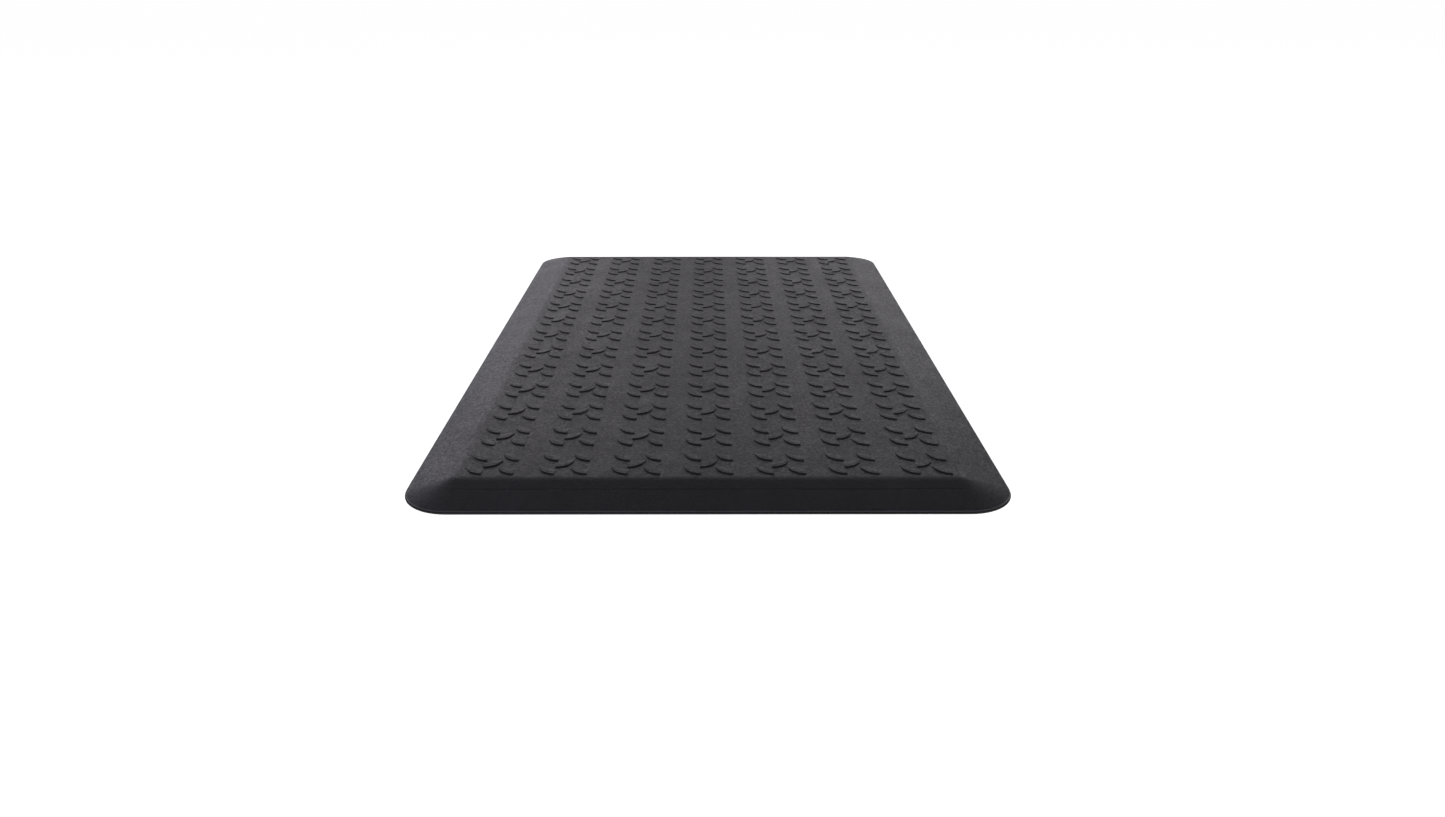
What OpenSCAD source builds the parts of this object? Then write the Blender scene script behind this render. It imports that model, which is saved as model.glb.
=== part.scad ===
// Anti-fatigue floor mat: a bevelled rectangular pad for standing on.
// Three layers: a dense wear skin with raised tread, a soft foam core, and a non-slip base sheet.
// +X runs across the width, +Y along the length, +Z up. The origin is the centre of the underside.
// All sizes are in millimetres.

/* [Mat] */
// Width of the mat on the floor
mat_w = 610; // [560:5:760]
// Length of the mat on the floor
mat_l = 1016; // [900:4:1520]
// Height of the standing field above the floor, without the tread
mat_h = 16; // [14:0.5:22]
// Plan radius of the four corners at the floor
corner_r = 51; // [50:1:70]
// Horizontal run of the bevel, from the floor outline in to the standing field
bevel_run = 48.5; // [30:0.5:49]
// Height above the floor of the upright rim below the bevel
rim_h = 4; // [4:0.5:6]

/* [Layers] */
// Thickness of the dense wear skin, measured square to its surface
skin_t = 2; // [1.5:0.1:2.4]
// Thickness of the non-slip base sheet
base_t = 1.6; // [1:0.1:1.8]
// How far the base sheet's edge stands out past the rim as a lip
lip_w = 1; // [0.5:0.1:2]

/* [Tread] */
// Number of tread clusters across the width
tread_columns = 7; // [5:2:7]
// Number of tread clusters along the length
tread_rows = 13; // [9:1:13]
// Clear margin between the outermost nubs and the side edges of the standing field
side_margin = 8.8; // [6:0.1:12]
// Clear margin between the outermost nubs and the end edges of the standing field
end_margin = 8; // [6:0.1:12]
// Height of a tread nub above the standing field, at its highest
nub_h = 1.2; // [1:0.1:3]
// Radius of the quarter circle that a nub's steep outer face follows
nub_r = 17.5; // [14:0.5:19]
// Width of a nub's narrow far tip
nub_tip_w = 2; // [1:0.1:3]
// Width of a nub's blunt near end
nub_end_w = 9; // [6:0.5:10]
// Distance across the width from a cluster's centre to its outer nubs' centres
nub_offset_x = 16.3; // [14:0.1:17]
// Distance along the length from a cluster's centre to its outer nubs' centres
nub_offset_y = 16; // [14:0.1:17]
// Sideways shift of a cluster's mirrored middle nub from the cluster's centre
mid_shift = 0.8; // [0:0.1:1.5]

/* [Hidden] */
$fn = 96;

// How far a nub is sunk into the skin, so that the two are one moulded piece
nub_root = 0.5;
// Slope of the bevel above the floor
bevel_angle = atan((mat_h - rim_h) / (bevel_run - lip_w));
// The skin's inner faces, set in square to the outer ones by the skin's thickness
core_inset = lip_w + skin_t;
core_rim_z = rim_h - skin_t / cos(bevel_angle) + skin_t * tan(bevel_angle);
core_top_z = mat_h - skin_t;
core_top_inset = core_inset + (core_top_z - core_rim_z) / tan(bevel_angle);
// A nub's top slopes down from its outer face to a line between its tip and its blunt end.
// The line's angle to the width, and the distance from it to the farthest point of the face
nub_line_angle = atan2(nub_end_w - nub_r, nub_r - nub_tip_w);
nub_slope_w = nub_r - (nub_r - nub_end_w) * cos(nub_line_angle);
// Half of one cluster's extent across the width and along the length
cluster_half_x = nub_offset_x + nub_r / 2;
cluster_half_y = nub_offset_y + nub_r / 2;
// Centre of the last cluster in each direction, counted from the mat's centre
last_x = mat_w / 2 - bevel_run - side_margin - cluster_half_x;
last_y = mat_l / 2 - bevel_run - end_margin - cluster_half_y;
pitch_x = 2 * last_x / (tread_columns - 1);
pitch_y = 2 * last_y / (tread_rows - 1);

// The mat's floor outline set in all round by inset, with its corners kept concentric.
module outline(inset) {
    half_x = mat_w / 2 - corner_r;
    half_y = mat_l / 2 - corner_r;
    r = corner_r - inset;
    square([2 * half_x + 2 * r, 2 * half_y], center = true);
    square([2 * half_x, 2 * half_y + 2 * r], center = true);
    for (x = [-half_x, half_x], y = [-half_y, half_y]) {
        translate([x, y]) circle(r);
    }
}

// A straight bar across the mat: an upright rim from z0 to z1, and a bevel from z1 up to z2.
module bar(length, half_low, half_high, z0, z1, z2) {
    rotate([90, 0, 90]) {
        linear_extrude(length, center = true) {
            polygon([
                [-half_low, z0], [half_low, z0], [half_low, z1],
                [half_high, z2], [-half_high, z2], [-half_low, z1]
            ]);
        }
    }
}

// A turned corner with the same rim and bevel as the bars.
module turned_corner(r_low, r_high, z0, z1, z2) {
    rotate_extrude() polygon([[0, z0], [r_low, z0], [r_low, z1], [r_high, z2], [0, z2]]);
}

// A pad with a rim and a bevel all round: two crossed bars and a turned block at each corner.
module pad(inset, z0, z1, top_inset, z2) {
    half_x = mat_w / 2 - corner_r;
    half_y = mat_l / 2 - corner_r;
    r_low = corner_r - inset;
    r_high = corner_r - top_inset;
    bar(2 * half_x, half_y + r_low, half_y + r_high, z0, z1, z2);
    rotate([0, 0, 90]) bar(2 * half_y, half_x + r_low, half_x + r_high, z0, z1, z2);
    for (x = [-half_x, half_x], y = [-half_y, half_y]) {
        translate([x, y, 0]) turned_corner(r_low, r_high, z0, z1, z2);
    }
}

// One raised nub: a quarter-circle ridge with a steep outer face, whose top slopes down inwards.
// It runs from a far tip, top left, to a near end, bottom right, and bulges to the near left.
module nub() {
    height = nub_root + nub_h;
    translate([nub_r / 2, nub_r / 2, mat_h - nub_root]) {
        intersection() {
            cylinder(h = height, r = nub_r);
            translate([-nub_r, -nub_r, 0]) cube([nub_r, nub_r, height]);
            translate([0, nub_end_w - nub_r, 0]) rotate([90, 0, nub_line_angle - 90]) {
                linear_extrude(4 * nub_r, center = true) {
                    polygon([[0, 0], [0, nub_root], [nub_slope_w, height], [nub_slope_w, 0]]);
                }
            }
        }
    }
}

// Five nubs: four alike at the corners of a square and a mirrored one between them.
module cluster() {
    for (x = [-nub_offset_x, nub_offset_x], y = [-nub_offset_y, nub_offset_y]) {
        translate([x, y, 0]) nub();
    }
    translate([mid_shift, 0, 0]) mirror([1, 0, 0]) nub();
}

// The tread: the cluster repeated over the whole standing field.
module tread() {
    for (i = [0 : tread_columns - 1], j = [0 : tread_rows - 1]) {
        translate([i * pitch_x - last_x, j * pitch_y - last_y, 0]) cluster();
    }
}

// Dense polyurethane skin: field, bevels, rim and tread moulded in one, open underneath.
module wear_skin() {
    color("#2e2d32") {
        difference() {
            pad(lip_w, base_t, rim_h, bevel_run, mat_h);
            pad(core_inset, base_t, core_rim_z, core_top_inset, core_top_z);
        }
        tread();
    }
}

// Soft polyurethane foam that fills the skin and stands on the base sheet.
module cushion_core() {
    color("#55545a") pad(core_inset, base_t, core_rim_z, core_top_inset, core_top_z);
}

// Non-slip sheet under the whole mat, with its edge showing as a thin lip.
module base_sheet() {
    color("#232227") linear_extrude(base_t) outline(0);
}

wear_skin();
cushion_core();
base_sheet();
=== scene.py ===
"""An anti-fatigue floor mat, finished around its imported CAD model. All sizes are in metres.

The mat is three bonded layers, and each is soft, so each CAD solid is replaced by a finished mesh:
a moulded wear skin with rounded edges and a raised tread, a foam core that the skin hides, and a
non-slip base sheet whose edge shows as a thin lip. +X is across the width, +Y along the length.
"""

import math

import bmesh
import bpy
import numpy as np
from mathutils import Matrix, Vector
from mathutils.geometry import delaunay_2d_cdt


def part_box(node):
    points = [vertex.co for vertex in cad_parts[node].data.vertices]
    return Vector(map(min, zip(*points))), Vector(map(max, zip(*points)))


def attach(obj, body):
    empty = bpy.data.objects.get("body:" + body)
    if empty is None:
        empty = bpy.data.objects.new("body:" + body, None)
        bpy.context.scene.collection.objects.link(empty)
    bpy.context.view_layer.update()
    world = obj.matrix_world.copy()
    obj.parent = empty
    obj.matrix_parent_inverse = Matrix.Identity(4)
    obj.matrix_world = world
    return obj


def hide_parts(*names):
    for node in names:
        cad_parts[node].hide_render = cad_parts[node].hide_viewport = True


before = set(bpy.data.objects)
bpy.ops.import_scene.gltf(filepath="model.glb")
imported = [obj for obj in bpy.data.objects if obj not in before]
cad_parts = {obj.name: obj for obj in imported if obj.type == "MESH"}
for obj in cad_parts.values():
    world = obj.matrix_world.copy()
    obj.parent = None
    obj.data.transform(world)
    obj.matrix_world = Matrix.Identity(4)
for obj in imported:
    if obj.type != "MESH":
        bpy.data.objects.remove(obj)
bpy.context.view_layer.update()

MM = 0.001

# ---------------------------------------------------------------- sizes, from the CAD nodes' boxes
_, base_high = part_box("base_sheet")
_, skin_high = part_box("wear_skin")
_, core_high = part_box("cushion_core")

HALF_W = base_high.x
HALF_L = base_high.y
BASE_T = base_high.z
LIP_W = HALF_W - skin_high.x
SKIN_T = skin_high.x - core_high.x
NUB_H = 1.2 * MM
FIELD_Z = skin_high.z - NUB_H
CORE_TOP_Z = core_high.z

# The mat's outline and bevel, the same as in the CAD source
CORNER_R = 51 * MM
BEVEL_RUN = 48.5 * MM
RIM_Z = 4 * MM
BEVEL_SLOPE = (FIELD_Z - RIM_Z) / (BEVEL_RUN - LIP_W)
BEVEL_ANGLE = math.atan(BEVEL_SLOPE)
CORNER_X = HALF_W - CORNER_R
CORNER_Y = HALF_L - CORNER_R
ARC_STEPS = 14

# Half the width of the rounding where the bevel meets the field
EDGE_SOFT = 4.8 * MM

# The tread, the same as in the CAD source
COLUMNS = 7
ROWS = 13
SIDE_MARGIN = 8.8 * MM
END_MARGIN = 8 * MM
NUB_R = 17.5 * MM
NUB_TIP_W = 2 * MM
NUB_END_W = 9 * MM
NUB_OFFSET_X = 16.3 * MM
NUB_OFFSET_Y = 16 * MM
MID_SHIFT = 0.8 * MM
CLUSTER_HALF_X = NUB_OFFSET_X + NUB_R / 2
CLUSTER_HALF_Y = NUB_OFFSET_Y + NUB_R / 2
LAST_X = HALF_W - BEVEL_RUN - SIDE_MARGIN - CLUSTER_HALF_X
LAST_Y = HALF_L - BEVEL_RUN - END_MARGIN - CLUSTER_HALF_Y
COLUMN_X = np.linspace(-LAST_X, LAST_X, COLUMNS)
ROW_Y = np.linspace(-LAST_Y, LAST_Y, ROWS)


# ---------------------------------------------------------------- mesh building
WELD = 0.002 * MM
SLIVER = 0.001 * MM
SHARP_ANGLE = math.radians(38)


class Surface:
    """Points and faces that are gathered patch by patch and then welded into one mesh."""

    def __init__(self):
        self.points = []
        self.faces = []
        self.wear = []
        self.count = 0

    def add(self, points, faces, wear=None):
        """One patch: its points, its faces as rows of indices into them, and each point's wear and painted
        shade.

        Above 0 is a polished place, and below 0 a duller one darkened with painted shade.
        """
        points = np.asarray(points, float).reshape(-1, 3)
        self.points.append(points)
        self.wear.append(np.zeros(len(points)) if wear is None else np.ravel(wear))
        self.faces.extend((np.asarray(face) + self.count).tolist() for face in faces)
        self.count += len(points)

    def build(self, name, shape=None):
        """The welded mesh object. shape, if given, first changes the gathered points and their wear and
        painted shade.
        """
        points = np.concatenate(self.points)
        worn_and_shaded = np.concatenate(self.wear)
        if shape:
            points, worn_and_shaded = shape(points, worn_and_shaded)
        mesh = bpy.data.meshes.new(name)
        mesh.from_pydata(points.tolist(), [], self.faces)
        wear = mesh.attributes.new("wear", "FLOAT", "POINT")
        wear.data.foreach_set("value", worn_and_shaded.astype(np.float32))
        work = bmesh.new()
        work.from_mesh(mesh)
        bmesh.ops.remove_doubles(work, verts=work.verts, dist=WELD)
        bmesh.ops.dissolve_degenerate(work, edges=work.edges, dist=SLIVER)
        bmesh.ops.recalc_face_normals(work, faces=work.faces)
        for face in work.faces:
            face.smooth = True
        work.to_mesh(mesh)
        work.free()
        mesh.set_sharp_from_angle(angle=SHARP_ANGLE)
        piece = bpy.data.objects.new(name, mesh)
        bpy.context.scene.collection.objects.link(piece)
        even = piece.modifiers.new("even_normals", "WEIGHTED_NORMAL")
        even.keep_sharp = True
        even.weight = 70
        return piece


def outline(inset, xs, ys):
    """A closed loop round the mat, set in by inset, with concentric corners. xs and ys divide its sides."""
    radius = max(CORNER_R - inset, 0)
    half_x = HALF_W - inset if radius else CORNER_X
    half_y = HALF_L - inset if radius else CORNER_Y
    turn = np.linspace(0, math.pi / 2, ARC_STEPS + 1)[1:-1]
    loop = [(x, -half_y) for x in xs]
    loop += [(CORNER_X + radius * math.sin(t), -CORNER_Y - radius * math.cos(t)) for t in turn]
    loop += [(half_x, y) for y in ys]
    loop += [(CORNER_X + radius * math.cos(t), CORNER_Y + radius * math.sin(t)) for t in turn]
    loop += [(x, half_y) for x in xs[::-1]]
    loop += [(-CORNER_X - radius * math.sin(t), CORNER_Y + radius * math.cos(t)) for t in turn]
    loop += [(-half_x, y) for y in ys[::-1]]
    loop += [(-CORNER_X - radius * math.cos(t), -CORNER_Y - radius * math.sin(t)) for t in turn]
    return np.array(loop)


def add_loft(surface, profile, xs, ys, worn_and_shaded=None):
    """Quads between the loops of a profile, a list of (inset, height). The last argument gives each loop's
    wear and painted shade.
    """
    loops = [outline(inset, xs, ys) for inset, _ in profile]
    n = len(loops[0])
    points = np.concatenate(
        [np.column_stack([loop, np.full(n, z)]) for loop, (_, z) in zip(loops, profile)]
    )
    near = np.arange(n)
    ahead = np.roll(near, -1)
    faces = np.concatenate(
        [
            np.column_stack([near, ahead, ahead + n, near + n]) + k * n
            for k in range(len(profile) - 1)
        ]
    )
    wear = None if worn_and_shaded is None else np.repeat(worn_and_shaded, n)
    surface.add(points, faces, wear)


def add_grid(surface, xs, ys, heights, keep=None):
    """A sheet of quads over the lines xs and ys. keep, if given, says which cells to keep."""
    x, y = np.meshgrid(xs, ys)
    z = np.broadcast_to(heights, x.shape)
    columns = len(xs)
    i, j = np.meshgrid(np.arange(len(xs) - 1), np.arange(len(ys) - 1))
    corner = (j * columns + i).ravel()
    faces = np.column_stack([corner, corner + 1, corner + columns + 1, corner + columns])
    if keep is not None:
        faces = faces[keep.ravel()]
    used, faces = np.unique(faces, return_inverse=True)
    points = np.column_stack([x.ravel(), y.ravel(), z.ravel()])[used]
    surface.add(points, faces.reshape(-1, 4))


def even_lines(end, step):
    """Evenly spaced lines from -end to end, at most step apart."""
    return np.linspace(-end, end, 2 * math.ceil(end / step) + 1)


def add_sheet(surface, xs, ys, height, step):
    """A flat hidden sheet of triangles: its edge has the points of xs and ys, its middle a coarse grid."""
    end_x, end_y = xs[-1], ys[-1]
    edge = [(x, y) for x in xs for y in (-end_y, end_y)]
    edge += [(x, y) for x in (-end_x, end_x) for y in ys[1:-1]]
    middle = [
        (x, y) for x in even_lines(end_x, step)[1:-1] for y in even_lines(end_y, step)[1:-1]
    ]
    points, _, triangles, *_ = delaunay_2d_cdt(edge + middle, [], [], 0, 1e-7)
    surface.add([(x, y, height) for x, y in points], triangles)


# ---------------------------------------------------------------- the tread
NUB_STEPS = 11

# The ridge's width, how far the outer face leans in under it, and the width of the fillet at its foot
RIDGE_W = 0.35 * MM
FACE_LEAN = 0.2 * MM
FOOT_W = 0.25 * MM

# How much of its height a nub loses at its tip, and over how much of its length from there
TIP_LOW = 0.35
TIP_REACH = 0.35

# Along a nub: turn about its arc's centre, from 0 at the tip to 1 at the blunt end; how far the
# section stands past that end; and its share of the full height
NUB_SECTIONS = (
    [(0, -0.7 * MM, 0), (0, -0.3 * MM, 0.65)]
    + [(t, 0, 1) for t in np.linspace(0, 1, NUB_STEPS)]
    + [(1, 0.12 * MM, 0.92), (1, 0.3 * MM, 0.45), (1, 0.55 * MM, 0)]
)


def nub_section(turn, past, share):
    """Points across one nub, from the foot of its sloping top, over the ridge, to the foot of its face."""
    angle = math.pi * (1 + turn / 2)
    direction = np.array([math.cos(angle), math.sin(angle)])
    along = np.array([-math.sin(angle), math.cos(angle)])
    foot_x = NUB_R - NUB_TIP_W
    foot_y = NUB_R - NUB_END_W
    foot_r = -1 / (direction[0] / foot_x + direction[1] / foot_y)
    height = NUB_H * share * (1 - TIP_LOW * max(0, 1 - turn / TIP_REACH) ** 2)
    ridge_r = NUB_R - FACE_LEAN - RIDGE_W
    across = [
        (foot_r, 0),
        (foot_r + 0.25 * (ridge_r - foot_r), 0.32),
        (foot_r + 0.7 * (ridge_r - foot_r), 0.82),
        (ridge_r, 0.99),
        (ridge_r + 0.6 * RIDGE_W, 1),
        (ridge_r + RIDGE_W, 0.86),
        (NUB_R, 0.14),
        (NUB_R + FOOT_W, 0),
    ]
    points = [
        np.append(radius * direction + past * along, lift * height) for radius, lift in across
    ]
    return np.array(points) + [NUB_R / 2, NUB_R / 2, 0]


# The dullness and painted shade of the points across a nub: duller and darkened with painted shade on its
# sloping top, and less so on its ridge
NUB_DULL_AND_SHADE = (0, -0.9, -1.5, -1.2, -0.5, -0.4, 0, 0)


def nub_patch():
    """One nub's points, its faces, the indices round its outline, and its dullness and painted shade."""
    points = np.array([nub_section(*section) for section in NUB_SECTIONS])
    rows, columns = points.shape[:2]
    index = np.arange(rows * columns).reshape(rows, columns)
    faces = np.column_stack(
        [part.ravel() for part in (index[:-1, :-1], index[1:, :-1], index[1:, 1:], index[:-1, 1:])]
    )
    rim = np.concatenate([index[0, :-1], index[:-1, -1], index[-1, :0:-1], index[:0:-1, 0]])
    wear = np.outer([share for _, _, share in NUB_SECTIONS], NUB_DULL_AND_SHADE)
    return points.reshape(-1, 3), faces, rim, wear.ravel()


# A tile is the patch of field round one cluster. The rest of the field is a grid of quads
TILE_MARGIN = 1.8 * MM
TILE_HALF_X = CLUSTER_HALF_X + TILE_MARGIN
TILE_HALF_Y = CLUSTER_HALF_Y + TILE_MARGIN
TILE_STEPS = 10
GAP_STEPS = 3
FILL_STEP = 5 * MM
FILL_CLEAR = 1.6 * MM


def inside(point, loop):
    """Whether a point lies inside a closed loop of points in the plane."""
    x, y = loop[:, 0], loop[:, 1]
    next_x, next_y = np.roll(x, -1), np.roll(y, -1)
    crosses = (y > point[1]) != (next_y > point[1])
    rise = np.where(crosses, next_y - y, 1)
    at = x + (point[1] - y) * (next_x - x) / rise
    return np.count_nonzero(crosses & (point[0] < at)) % 2 == 1


def place_nubs():
    """A cluster's five nubs: their points, faces, dullness and painted shade, and the indices round each
    one's outline.
    """
    nub, nub_faces, rim, nub_wear = nub_patch()
    places = [(nub, sx * NUB_OFFSET_X, sy * NUB_OFFSET_Y) for sy in (-1, 1) for sx in (-1, 1)]
    places.append((nub * [-1, 1, 1], MID_SHIFT, 0))
    points = np.concatenate([shape + [x, y, 0] for shape, x, y in places])
    starts = [k * len(nub) for k in range(len(places))]
    faces = [face for start in starts for face in (nub_faces + start).tolist()]
    return points, faces, np.tile(nub_wear, len(places)), [rim + start for start in starts]


def tile_border():
    """Points round a tile's edge, shared with the field beside it."""
    side = np.linspace(-1, 1, TILE_STEPS + 1)[:-1]
    high_x = np.full(TILE_STEPS, TILE_HALF_X)
    high_y = np.full(TILE_STEPS, TILE_HALF_Y)
    sides = [
        (side * TILE_HALF_X, -high_y),
        (high_x, side * TILE_HALF_Y),
        (-side * TILE_HALF_X, high_y),
        (-high_x, -side * TILE_HALF_Y),
    ]
    return np.concatenate([np.column_stack(pair) for pair in sides])


def tile_fill(outlines):
    """Points of a coarse grid over a tile, those that are clear of the nubs."""
    edge_points = np.concatenate(outlines)
    fill = []
    for y in np.arange(-TILE_HALF_Y + FILL_STEP, TILE_HALF_Y - FILL_STEP / 2, FILL_STEP):
        for x in np.arange(-TILE_HALF_X + FILL_STEP, TILE_HALF_X - FILL_STEP / 2, FILL_STEP):
            clear = np.hypot(*(edge_points - (x, y)).T).min() > FILL_CLEAR
            if clear and not any(inside((x, y), loop) for loop in outlines):
                fill.append((x, y))
    return np.array(fill)


def closed_edges(sizes):
    """The edges of closed loops whose points follow one another, given how many points each has."""
    edges, start = [], 0
    for size in sizes:
        ring = np.arange(start, start + size)
        edges.extend(zip(ring.tolist(), np.roll(ring, -1).tolist()))
        start += size
    return edges


def tile_patch():
    """One tile of field with a cluster of five nubs: points, faces, and the nubs' dullness and painted
    shade.
    """
    points, faces, wear, loops = place_nubs()
    outlines = [points[loop, :2] for loop in loops]
    border = tile_border()
    flat = np.concatenate([*outlines, border, tile_fill(outlines)])
    edges = closed_edges([len(loop) for loop in outlines + [border]])
    _, _, triangles, came_from, _, _ = delaunay_2d_cdt(flat.tolist(), edges, [], 0, 1e-7)
    on_nubs = np.concatenate(loops)
    extra = flat[len(on_nubs):]
    place = np.concatenate([on_nubs, len(points) + np.arange(len(extra))])
    for triangle in triangles:
        corners = [came_from[v][0] for v in triangle]
        if not any(inside(flat[corners].mean(axis=0), loop) for loop in outlines):
            faces.append([int(place[c]) for c in corners])
    points = np.concatenate([points, np.column_stack([extra, np.zeros(len(extra))])])
    return points, faces, np.concatenate([wear, np.zeros(len(extra))])


def tile_lines(centres, tile_half, end):
    """Lines across the field: those through each tile, some in each gap, and some at its two ends."""
    ends = end - np.array([0, 0.5, 1]) * (BEVEL_RUN + EDGE_SOFT - CORNER_R)
    lines = [-ends]
    for k, centre in enumerate(centres):
        lines.append(centre + np.linspace(-tile_half, tile_half, TILE_STEPS + 1))
        if k + 1 < len(centres):
            gap = np.linspace(centre + tile_half, centres[k + 1] - tile_half, GAP_STEPS + 1)
            lines.append(gap[1:-1])
    lines.append(ends[::-1])
    return np.concatenate(lines)


# ---------------------------------------------------------------- the wear skin
HIDDEN_STEP = 24 * MM
RIM_ROUND = 1.5 * MM
RIM_TUCK = 0.35 * MM
WAVE_H = 0.12 * MM
EDGE_WEAR = 0.2
RIM_WEAR = 0.5

# The crease across each end bevel: a narrow groove, darkened with painted shade, at the bottom of a wide
# and very shallow dip
CREASE_INSET = 31.5 * MM
CREASE_DIP = 0.1 * MM
CREASE_DEPTH = 0.9 * MM
CREASE_HALF_W = 0.7 * MM
# Painted shade in the crease: how much darker and duller its colour is made
CREASE_SHADE = -2.0

# How far past the corners' centres the crease reaches, and over what length it fades out there
CREASE_REACH = 12 * MM
CREASE_FADE = 34 * MM


def bevel_height(inset):
    """Height of the outer surface at an inset: bevel, softened edge, then field."""
    past = inset - BEVEL_RUN
    if past > EDGE_SOFT:
        return FIELD_Z
    if past < -EDGE_SOFT:
        return FIELD_Z + past * BEVEL_SLOPE
    return FIELD_Z - BEVEL_SLOPE * (EDGE_SOFT - past) ** 2 / (4 * EDGE_SOFT)


def skin_profile():
    """Loops of the skin's outer surface, from the field's border out to the rim's lower edge."""
    soft = np.linspace(CORNER_R, BEVEL_RUN - EDGE_SOFT, 9)
    upper = np.linspace(BEVEL_RUN - EDGE_SOFT, CREASE_INSET + 2 * CREASE_HALF_W, 5)[1:]
    crease = CREASE_INSET + CREASE_HALF_W * np.linspace(1, -1, 7)
    lower = np.linspace(CREASE_INSET - 2 * CREASE_HALF_W, LIP_W + 2 * RIM_ROUND, 8)
    profile = [(d, bevel_height(d)) for d in np.concatenate([soft, upper, crease, lower])]
    worn_and_shaded = [max(0, 1 - abs(d - BEVEL_RUN) / EDGE_SOFT) * EDGE_WEAR for d in soft]
    worn_and_shaded += [0] * (len(profile) - len(worn_and_shaded))
    centre_z = RIM_Z - RIM_ROUND * math.tan((math.pi / 2 - BEVEL_ANGLE) / 2)
    for turn in np.linspace(BEVEL_ANGLE, math.pi / 2, 6):
        inset = LIP_W + RIM_ROUND * (1 - math.sin(turn))
        profile.append((inset, centre_z + RIM_ROUND * math.cos(turn)))
        worn_and_shaded.append(RIM_WEAR)
    profile += [
        (LIP_W, BASE_T + 2 * RIM_TUCK),
        (LIP_W + 0.3 * RIM_TUCK, BASE_T + 0.6 * RIM_TUCK),
        (LIP_W + RIM_TUCK, BASE_T),
    ]
    worn_and_shaded += [0, 0, 0]
    return profile, worn_and_shaded


def inner_profile(gap=0.0):
    """Loops of the skin's inner faces, set in by gap, from the base sheet up to the hollow's ceiling."""
    inset = LIP_W + SKIN_T + gap
    rim_z = RIM_Z + (SKIN_T + gap) * (math.tan(BEVEL_ANGLE) - 1 / math.cos(BEVEL_ANGLE))
    top_z = CORE_TOP_Z - gap
    top_inset = inset + (top_z - rim_z) / BEVEL_SLOPE
    return [(inset, BASE_T + gap), (inset, rim_z), (top_inset, top_z), (CORNER_R, top_z)]


def smooth(t):
    """An ease from 0 to 1 as t goes from 0 to 1."""
    t = np.clip(t, 0, 1)
    return t * t * (3 - 2 * t)


def crease_share(points):
    """How far each point is into the crease across its end bevel, from 0 beside it to 1."""
    x, y, _ = points.T
    inset = HALF_L - abs(y)
    wander = 0.75 + 0.25 * np.sin(x * 61 + 1) * np.sin(x * 23)
    return wander * smooth(1 - abs(inset - CREASE_INSET) / CREASE_HALF_W) * crease_ends(x)


def crease_ends(x):
    """Fades the crease out towards the corners."""
    return smooth((CORNER_X + CREASE_REACH - abs(x)) / CREASE_FADE)


def mould_marks(points):
    """Adds the crease across the two end bevels and a slight unevenness to the skin's outer surface."""
    x, y, z = points.T
    inset = HALF_L - abs(y)
    outer = z > RIM_Z - RIM_ROUND
    above = (inset - CREASE_INSET) / (BEVEL_RUN - CREASE_INSET)
    below = (CREASE_INSET - inset) / (CREASE_INSET - LIP_W)
    dip = CREASE_DIP * np.clip(1 - np.maximum(above, below), 0, 1) * crease_ends(x)
    z = z - np.where(outer, dip + CREASE_DEPTH * crease_share(points), 0)
    wave = (
        np.sin(9.1 * x + 0.4 + 1.3 * np.sin(5.3 * y))
        + np.sin(13.7 * y + 2.1 + 0.9 * np.sin(11.2 * x))
        + 0.6 * np.sin(31 * x - 17 * y + 0.7)
    )
    weight = smooth((z - RIM_Z) / (FIELD_Z - RIM_Z))
    return np.column_stack([x, y, z + np.where(outer, WAVE_H / 2.6 * wave * weight, 0)])


def skin_shape(points, wear):
    """Marks the outer surface only, and paints shade into its creases; the hollow keeps the CAD model's
    faces.
    """
    hollow_z = [round(z, 7) for _, z in inner_profile()]
    hollow = np.isin(np.round(points[:, 2], 7), hollow_z)
    # Painted shade: the crease's points are made darker and duller
    worn_and_shaded = wear + CREASE_SHADE * crease_share(points)
    return np.where(hollow[:, None], points, mould_marks(points)), np.where(hollow, wear, worn_and_shaded)


def make_wear_skin():
    """The skin: tiles, the field between them, bevels, rim and the hollow underneath, in one mesh."""
    xs = tile_lines(COLUMN_X, TILE_HALF_X, CORNER_X)
    ys = tile_lines(ROW_Y, TILE_HALF_Y, CORNER_Y)
    outer = Surface()
    points, faces, wear = tile_patch()
    for y in ROW_Y:
        for x in COLUMN_X:
            outer.add(points + [x, y, FIELD_Z], faces, wear)
    mid_x = (xs[:-1] + xs[1:]) / 2
    mid_y = (ys[:-1] + ys[1:]) / 2
    tiled_x = abs(mid_x[:, None] - COLUMN_X).min(axis=1) < TILE_HALF_X
    tiled_y = abs(mid_y[:, None] - ROW_Y).min(axis=1) < TILE_HALF_Y
    inset = np.minimum.outer(HALF_L - abs(ys), HALF_W - abs(xs))
    add_grid(outer, xs, ys, np.vectorize(bevel_height)(inset), keep=~np.outer(tiled_y, tiled_x))
    profile, worn_and_shaded = skin_profile()
    hollow = inner_profile()
    add_loft(outer, profile + hollow, xs, ys, worn_and_shaded + [0] * len(hollow))
    add_sheet(outer, xs, ys, CORE_TOP_Z, HIDDEN_STEP)
    return outer.build("wear_skin_moulding", shape=skin_shape)


# ---------------------------------------------------------------- the foam core
CORE_GAP = 0.1 * MM
CORE_STEP = 24 * MM


def make_core():
    """The foam block that fills the skin's hollow, a hair smaller than it."""
    xs = even_lines(CORNER_X, CORE_STEP)
    ys = even_lines(CORNER_Y, CORE_STEP)
    core = Surface()
    loops = inner_profile(CORE_GAP)
    floor_z = loops[0][1]
    add_grid(core, xs, ys, floor_z)
    add_loft(core, [(CORNER_R, floor_z)] + loops, xs, ys)
    add_grid(core, xs, ys, loops[-1][1])
    return core.build("cushion_core_foam")


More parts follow.
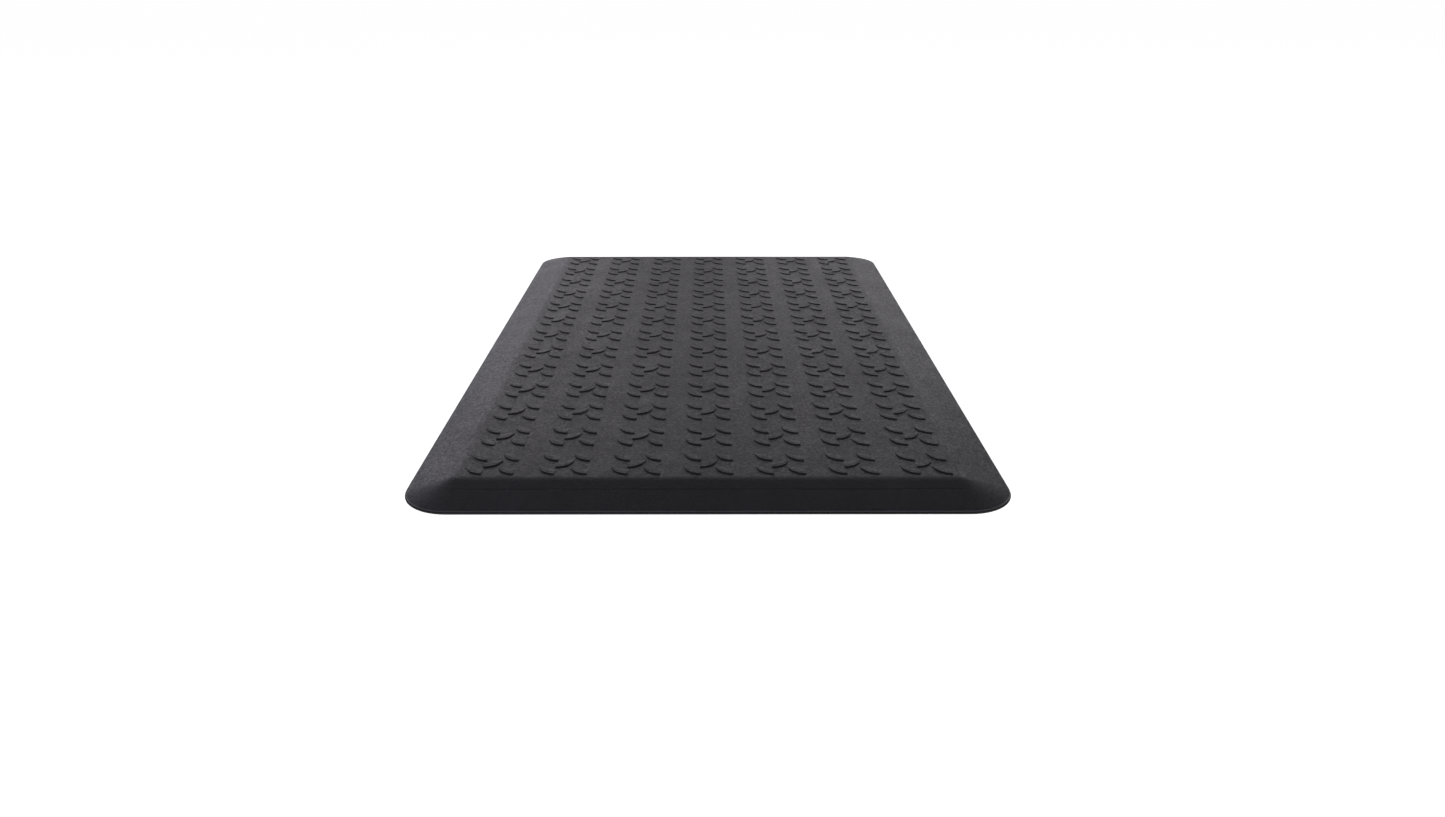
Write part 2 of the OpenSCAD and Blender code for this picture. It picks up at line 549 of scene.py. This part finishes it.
# ---------------------------------------------------------------- the base sheet
PAD_PITCH = 20 * MM
CHANNEL_W = 2.4 * MM
CHANNEL_DEPTH = 0.5 * MM
CHANNEL_SIDE = 0.5 * MM


def pad_lines(end):
    """Lines at the edges of each grip pad, and whether each line lies in a channel."""
    count = int(2 * end / PAD_PITCH)
    pitch = (2 * end - CHANNEL_W) / count
    lines, sunk = [-end], [False]
    for k in range(count + 1):
        start = -end + k * pitch
        lines += [start + CHANNEL_SIDE, start + CHANNEL_W - CHANNEL_SIDE]
        sunk += [True, True]
        if k < count:
            lines += [start + CHANNEL_W, start + pitch]
            sunk += [False, False]
    return np.array(lines + [end]), np.array(sunk + [False])


def make_base():
    """The base sheet: a rounded lip all round, a flat top, and a waffle of grip pads underneath."""
    xs, sunk_x = pad_lines(CORNER_X)
    ys, sunk_y = pad_lines(CORNER_Y)
    base = Surface()
    channel = (sunk_x[None, :] | sunk_y[:, None]).astype(float)
    border = np.ones_like(channel, dtype=bool)
    border[1:-1, 1:-1] = False
    add_grid(base, xs, ys, np.where(border, 0, channel * CHANNEL_DEPTH))
    edge = 0.45 * MM
    profile = [(inset * MM, 0) for inset in (51, 40, 28, 16, 6, 1.5)]
    profile += [
        (edge * (1 - math.sin(t)), edge * (1 - math.cos(t)))
        for t in np.linspace(0, math.pi / 2, 4)
    ]
    profile += [
        (edge * (1 - math.cos(t)), BASE_T - edge * (1 - math.sin(t)))
        for t in np.linspace(0, math.pi / 2, 4)
    ]
    profile += [(inset * MM, BASE_T) for inset in (1.5, 6, 51)]
    add_loft(base, profile, xs, ys)
    add_sheet(base, xs, ys, BASE_T, HIDDEN_STEP)
    return base.build("base_sheet_rubber")


# ---------------------------------------------------------------- materials
class Shader:
    """A short way to write a material's nodes."""

    def __init__(self, name):
        self.material = bpy.data.materials.new(name)
        self.material.use_nodes = True
        self.tree = self.material.node_tree
        self.tree.nodes.clear()
        self.place = self.node("ShaderNodeTexCoord").outputs["Object"]
        self.bsdf = self.node("ShaderNodeBsdfPrincipled")
        output = self.node("ShaderNodeOutputMaterial")
        self.link(self.bsdf.outputs[0], output.inputs["Surface"])

    def node(self, kind, **settings):
        """A new node with the given settings."""
        made = self.tree.nodes.new(kind)
        for key, value in settings.items():
            setattr(made, key, value)
        return made

    def link(self, source, target):
        """A link from an output to an input."""
        self.tree.links.new(source, target)

    def put(self, value, target):
        """A number or another node's output into a socket."""
        if isinstance(value, bpy.types.NodeSocket):
            self.link(value, target)
        else:
            target.default_value = value

    def math(self, operation, *values, clamp=False):
        """The result of a sum on numbers or other nodes' outputs."""
        made = self.node("ShaderNodeMath", operation=operation, use_clamp=clamp)
        for value, target in zip(values, made.inputs):
            self.put(value, target)
        return made.outputs[0]

    def noise(self, size, detail=3, roughness=0.5, seed=0):
        """Noise from 0 to 1 whose features are about size metres across."""
        made = self.node("ShaderNodeTexNoise", noise_dimensions="4D")
        self.link(self.place, made.inputs["Vector"])
        made.inputs["Scale"].default_value = 1 / size
        made.inputs["Detail"].default_value = detail
        made.inputs["Roughness"].default_value = roughness
        made.inputs["W"].default_value = seed
        return made.outputs["Fac"]

    def cells(self, size, feature="F1"):
        """Distance to the nearest of scattered points about size metres apart, in those units."""
        made = self.node("ShaderNodeTexVoronoi", feature=feature)
        self.link(self.place, made.inputs["Vector"])
        made.inputs["Scale"].default_value = 1 / size
        return made.outputs["Distance"]

    def spread(self, value, low, high, to_low, to_high):
        """value's range low to high mapped to another range, and held inside it."""
        made = self.node("ShaderNodeMapRange")
        self.put(value, made.inputs["Value"])
        for key, number in zip(
            ("From Min", "From Max", "To Min", "To Max"), (low, high, to_low, to_high)
        ):
            made.inputs[key].default_value = number
        return made.outputs[0]

    def mix_in(self, base, *parts):
        """base with noises added, each (noise, amount) centred so that it adds nothing on average."""
        total = base
        for value, amount in parts:
            total = self.math("MULTIPLY_ADD", self.math("SUBTRACT", value, 0.5), amount, total)
        return total

    def attribute(self, name):
        """A number kept on the mesh's points."""
        return self.node("ShaderNodeAttribute", attribute_name=name).outputs["Fac"]

    def colour(self, *stops, by):
        """A colour ramp between (position, colour) stops, driven by a value."""
        made = self.node("ShaderNodeValToRGB")
        ramp = made.color_ramp
        ramp.elements[0].position, ramp.elements[1].position = stops[0][0], stops[-1][0]
        ramp.elements[0].color = (*stops[0][1], 1)
        ramp.elements[1].color = (*stops[-1][1], 1)
        for position, colour in stops[1:-1]:
            ramp.elements.new(position).color = (*colour, 1)
        self.put(by, made.inputs["Fac"])
        return made.outputs["Color"]

    def bump(self, height, depth, after=None):
        """A bump of a given depth in metres, on top of another."""
        made = self.node("ShaderNodeBump")
        made.inputs["Strength"].default_value = 1
        made.inputs["Distance"].default_value = depth
        self.put(height, made.inputs["Height"])
        if after is not None:
            self.link(after, made.inputs["Normal"])
        return made.outputs[0]

    def separate(self):
        """The x, y and z of the place on the object."""
        made = self.node("ShaderNodeSeparateXYZ")
        self.link(self.place, made.inputs[0])
        return made.outputs


def skin_material():
    """Moulded polyurethane: near-black, matt, finely grained, polished on edges, dull on the nubs' tops;
    painted shade darkens the nubs' tops and the creases, and a painted sheen lightens the lanes.
    """
    s = Shader("moulded_skin")
    clouds = s.noise(55 * MM, detail=3, roughness=0.55)
    mottle = s.noise(14 * MM, detail=5, roughness=0.65, seed=3)
    grit = s.noise(2.8 * MM, detail=3, roughness=0.65, seed=5)
    grain = s.noise(0.8 * MM, detail=2, roughness=0.6, seed=7)
    wear = s.attribute("wear")
    x, _, _ = s.separate()
    # Painted sheen: the lanes between the tread columns a little lighter in colour, the columns darker
    lane_sheen = s.math("COSINE", s.math("MULTIPLY", x, 2 * math.pi / (COLUMN_X[1] - COLUMN_X[0])))
    shade = s.mix_in(0.5, (clouds, 0.5), (mottle, 0.5), (grit, 1.2), (grain, 0.5))
    shade = s.math("MULTIPLY_ADD", lane_sheen, -0.05, shade)
    # Wear and painted shade: polished places a little lighter, the nubs' tops and the creases darkened with
    # painted shade
    shade = s.math("MULTIPLY_ADD", wear, 0.2, shade, clamp=True)
    colour = s.colour(
        (0.0, (0.0066, 0.0058, 0.0094)),
        (0.5, (0.0126, 0.0114, 0.0172)),
        (1.0, (0.0245, 0.0226, 0.0320)),
        by=shade,
    )
    s.link(colour, s.bsdf.inputs["Base Color"])
    rough = s.mix_in(0.50, (clouds, 0.14), (mottle, 0.16), (grit, 0.75), (grain, 0.40))
    s.link(s.math("MULTIPLY_ADD", wear, -0.06, rough), s.bsdf.inputs["Roughness"])
    s.bsdf.inputs["IOR"].default_value = 1.45
    normal = s.bump(mottle, 0.20 * MM)
    normal = s.bump(grit, 0.30 * MM, normal)
    normal = s.bump(grain, 0.08 * MM, normal)
    s.link(normal, s.bsdf.inputs["Normal"])
    return s.material


def foam_material():
    """Open-celled foam: charcoal, dull, pitted all over, with painted shade in the pits."""
    s = Shader("cushion_foam")
    pores = s.cells(1.4 * MM)
    coarse = s.noise(14 * MM, detail=4, seed=2)
    # Painted shade in the pores' pits, plus random tone from the coarse noise
    depth = s.math("MULTIPLY_ADD", s.math("SUBTRACT", coarse, 0.5), 0.4, pores)
    colour = s.colour(
        (0.1, (0.022, 0.021, 0.024)),
        (0.7, (0.085, 0.083, 0.090)),
        by=depth,
    )
    s.link(colour, s.bsdf.inputs["Base Color"])
    s.link(s.spread(pores, 0, 0.8, 0.98, 0.85), s.bsdf.inputs["Roughness"])
    s.link(s.bump(pores, 0.5 * MM), s.bsdf.inputs["Normal"])
    return s.material


def base_material():
    """Non-slip rubbery sheet: black, dull, with a fine crepe."""
    s = Shader("grip_rubber")
    crepe = s.cells(0.8 * MM)
    cloud = s.noise(40 * MM, detail=4, seed=5)
    grain = s.noise(0.5 * MM, detail=2, seed=9)
    shade = s.math("MULTIPLY_ADD", s.math("SUBTRACT", cloud, 0.5), 0.6, 0.5)
    shade = s.math("MULTIPLY_ADD", s.math("SUBTRACT", grain, 0.5), 0.5, shade, clamp=True)
    colour = s.colour((0.0, (0.010, 0.010, 0.012)), (1.0, (0.030, 0.029, 0.032)), by=shade)
    s.link(colour, s.bsdf.inputs["Base Color"])
    s.link(s.spread(cloud, 0.3, 0.7, 0.6, 0.75), s.bsdf.inputs["Roughness"])
    normal = s.bump(crepe, 0.08 * MM)
    normal = s.bump(grain, 0.04 * MM, normal)
    s.link(normal, s.bsdf.inputs["Normal"])
    return s.material


# ---------------------------------------------------------------- the pieces
def finish_piece(piece, material, node):
    """Dresses a piece, attaches it to the body it rides on, and hides the CAD node it stands for."""
    piece.data.materials.append(material)
    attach(piece, "root")
    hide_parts(node)
    return piece


finish_piece(make_wear_skin(), skin_material(), "wear_skin")
core = finish_piece(make_core(), foam_material(), "cushion_core")
finish_piece(make_base(), base_material(), "base_sheet")


# ---------------------------------------------------------------- floor, light and camera
FLOOR_GLOW = 0.94
BACKDROP = 1.0
DOME = 0.06

# The lights' two colours, one a little bluer, and their distance from the mat's centre
COOL = (0.98, 0.95, 1.07)
PLAIN = (1.0, 0.975, 1.0)
LIGHT_AWAY = 3.0

# Soft studio lights: turn from +Y towards -X, elevation, width and height (all in degrees), then
# brightness and colour
LIGHTS = {
    "back": (0, 24, 60, 14, 1.7, PLAIN),
    "back_left": (50, 24, 40, 14, 1.3, COOL),
    "back_left_low": (25, 7, 36, 12, 1.35, COOL),
    "back_right": (-50, 24, 40, 14, 0.85, PLAIN),
    "back_right_low": (-15, 6, 24, 10, 1.25, PLAIN),
    "left": (95, 22, 50, 16, 1.2, COOL),
    "right": (-95, 22, 50, 16, 1.0, PLAIN),
    "front": (180, 22, 80, 16, 1.0, COOL),
    "front_left_high": (145, 50, 40, 40, 0.3, COOL),
    "top": (0, 84, 50, 50, 0.15, PLAIN),
}


def make_floor():
    """A plain pale floor that runs out to the horizon, lit a little from below as a light table is."""
    size = 100
    mesh = bpy.data.meshes.new("floor")
    corners = [(-size, -size, 0), (size, -size, 0), (size, size, 0), (-size, size, 0)]
    mesh.from_pydata(corners, [], [(0, 1, 2, 3)])
    floor = bpy.data.objects.new("floor", mesh)
    bpy.context.scene.collection.objects.link(floor)
    s = Shader("pale_floor")
    tone = s.noise(0.6, detail=2)
    colour = s.colour((0.0, (0.88, 0.88, 0.88)), (1.0, (0.92, 0.92, 0.92)), by=tone)
    s.link(colour, s.bsdf.inputs["Base Color"])
    s.bsdf.inputs["Roughness"].default_value = 0.9
    s.bsdf.inputs["Specular IOR Level"].default_value = 0.1
    s.bsdf.inputs["Emission Color"].default_value = (1, 1, 1, 1)
    s.bsdf.inputs["Emission Strength"].default_value = FLOOR_GLOW
    mesh.materials.append(s.material)


def make_light(name, turn, rise, width, height, brightness, colour):
    """A rectangular soft light, out of the camera's sight, that faces the mat from a direction."""
    turn, rise = math.radians(turn), math.radians(rise)
    toward = Vector(
        (-math.sin(turn) * math.cos(rise), math.cos(turn) * math.cos(rise), math.sin(rise))
    )
    data = bpy.data.lights.new(name, "AREA")
    data.shape = "RECTANGLE"
    data.size = 2 * LIGHT_AWAY * math.tan(math.radians(width / 2))
    data.size_y = 2 * LIGHT_AWAY * math.tan(math.radians(height / 2))
    data.energy = brightness * math.pi * data.size * data.size_y
    data.color = colour
    lamp = bpy.data.objects.new(name, data)
    bpy.context.scene.collection.objects.link(lamp)
    lamp.location = toward * LIGHT_AWAY
    lamp.rotation_euler = toward.to_track_quat("Z", "Y").to_euler()
    lamp.visible_camera = False


def make_world():
    """A dim, even dome for the light, and a white backdrop for what the camera sees past the floor."""
    world = bpy.data.worlds.new("studio")
    world.use_nodes = True
    tree = world.node_tree
    background = tree.nodes["Background"]
    background.inputs["Color"].default_value = (1, 1, 1, 1)
    seen = tree.nodes.new("ShaderNodeLightPath").outputs["Is Camera Ray"]
    strength = tree.nodes.new("ShaderNodeMath")
    strength.operation = "MULTIPLY_ADD"
    strength.inputs[1].default_value = BACKDROP - DOME
    strength.inputs[2].default_value = DOME
    tree.links.new(seen, strength.inputs[0])
    tree.links.new(strength.outputs[0], background.inputs["Strength"])
    bpy.context.scene.world = world


# The camera: in front of the near end, a little above the mat, and tilted down (metres and radians)
CAMERA_PLACE = (0.0006, -1.3925, 0.4721)
CAMERA_TILT = 0.3877
CAMERA_TURN = -0.002
CAMERA_LENS = 25.7
CAMERA_SHIFT = 0.0083


def make_camera():
    """The camera, looking along the mat from in front of its near end."""
    data = bpy.data.cameras.new("camera")
    data.lens = CAMERA_LENS
    data.sensor_width = 36
    data.shift_x = CAMERA_SHIFT
    data.clip_end = 200
    camera = bpy.data.objects.new("camera", data)
    bpy.context.scene.collection.objects.link(camera)
    camera.location = CAMERA_PLACE
    camera.rotation_euler = (math.pi / 2 - CAMERA_TILT, 0, CAMERA_TURN)
    bpy.context.scene.camera = camera


make_floor()
make_world()
for light_name, setting in LIGHTS.items():
    make_light(light_name, *setting)
make_camera()
bpy.context.scene.view_settings.view_transform = "Standard"
